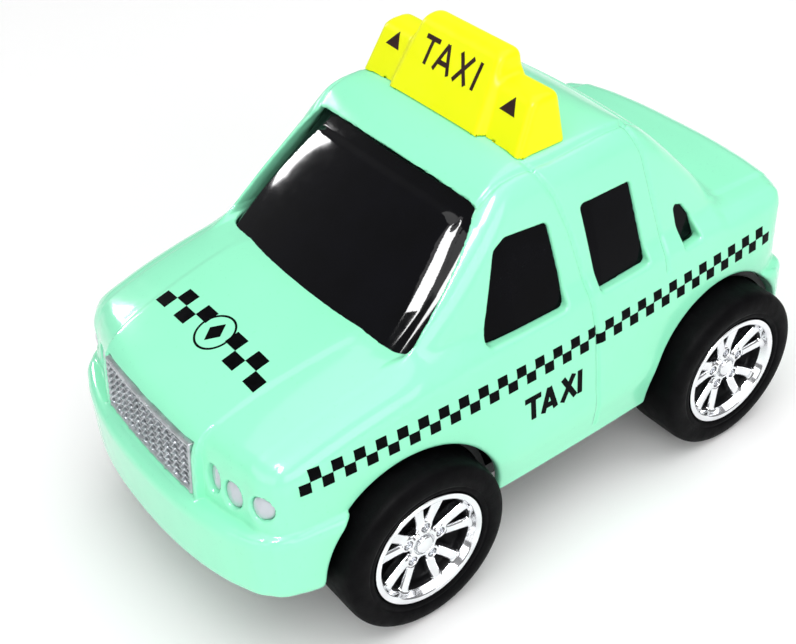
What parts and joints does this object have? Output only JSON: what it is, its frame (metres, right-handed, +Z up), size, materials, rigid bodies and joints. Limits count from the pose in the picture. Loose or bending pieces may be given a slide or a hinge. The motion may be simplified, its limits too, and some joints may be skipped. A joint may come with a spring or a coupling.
{
  "type": "toy car",
  "caption": "Short, tall toy taxi saloon with a roof sign, black glazing, spoked wheels and a geared flywheel friction motor on the rear axle.",
  "frame": {"origin": "on the floor under the middle of the car", "axes": "+X to the car's left, -Y forwards along the car, +Z up"},
  "size_m": [0.0472, 0.08, 0.0522],
  "materials": {
    "body_paint": "high gloss mint enamel over a cast zinc shell",
    "glazing": "glossy black moulding",
    "sign": "glossy yellow with dark printing",
    "grille": "silver paint on a moulding",
    "lamps": "silver paint on a moulding",
    "tail_lamps": "tinted red moulding",
    "base": "fine satin black moulding",
    "screws": "zinc plated",
    "tyre": "smooth black synthetic rubber",
    "rim": "vacuum plated bright",
    "axle": "drawn steel",
    "gears": "natural acetal",
    "shafts": "ground steel",
    "flywheel": "pressed and turned steel",
    "motor_case": "dark grey moulding"
  },
  "bodies": {
    "car": {"body_shell": "body_paint", "cab_glazing": "glazing", "roof_sign": "sign", "grille_insert": "grille", "headlamps_left": "lamps", "headlamps_right": "lamps", "tail_lamp_left": "tail_lamps", "tail_lamp_right": "tail_lamps", "base_plate": "base", "shell_screws": "screws", "motor_screws": "screws", "motor_case_left": "motor_case", "motor_case_right": "motor_case"},
    "front_wheels": {"front_axle": "axle", "front_tyre_left": "tyre", "front_tyre_right": "tyre", "front_rim_left": "rim", "front_rim_right": "rim"},
    "rear_wheels": {"rear_axle": "axle", "rear_tyre_left": "tyre", "rear_tyre_right": "tyre", "rear_rim_left": "rim", "rear_rim_right": "rim", "axle_gear": "gears"},
    "gear_a_set": {"gear_a": "gears", "gear_a_shaft": "shafts"},
    "gear_b_set": {"gear_b": "gears", "gear_b_shaft": "shafts"},
    "flywheel_set": {"flywheel_pinion": "gears", "flywheel_shaft": "shafts", "flywheel_left": "flywheel", "flywheel_right": "flywheel"}
  },
  "joints": [
    {"name": "flywheel_spin", "type": "hinge", "parent": "car", "child": "flywheel_set", "pos_m": [0, 0.00759, 0.01374], "axis": [1, 0, 0], "continuous": true},
    {"name": "rear_wheels_spin", "type": "hinge", "parent": "car", "child": "rear_wheels", "pos_m": [0, 0.0258, 0.0102], "axis": [1, 0, 0], "continuous": true},
    {"name": "front_wheels_spin", "type": "hinge", "parent": "car", "child": "front_wheels", "pos_m": [0, -0.0192, 0.0102], "axis": [1, 0, 0], "continuous": true},
    {"name": "gear_a_spin", "type": "hinge", "parent": "car", "child": "gear_a_set", "pos_m": [0, 0.0202, 0.0144], "axis": [1, 0, 0], "continuous": true},
    {"name": "gear_b_spin", "type": "hinge", "parent": "car", "child": "gear_b_set", "pos_m": [0, 0.0138, 0.016], "axis": [1, 0, 0], "continuous": true}
  ],
  "couplings": [
    {"joint": "gear_b_spin", "follows": "flywheel_spin", "ratio": -0.375},
    {"joint": "gear_a_spin", "follows": "flywheel_spin", "ratio": 0.14062},
    {"joint": "rear_wheels_spin", "follows": "flywheel_spin", "ratio": -0.048678}
  ]
}
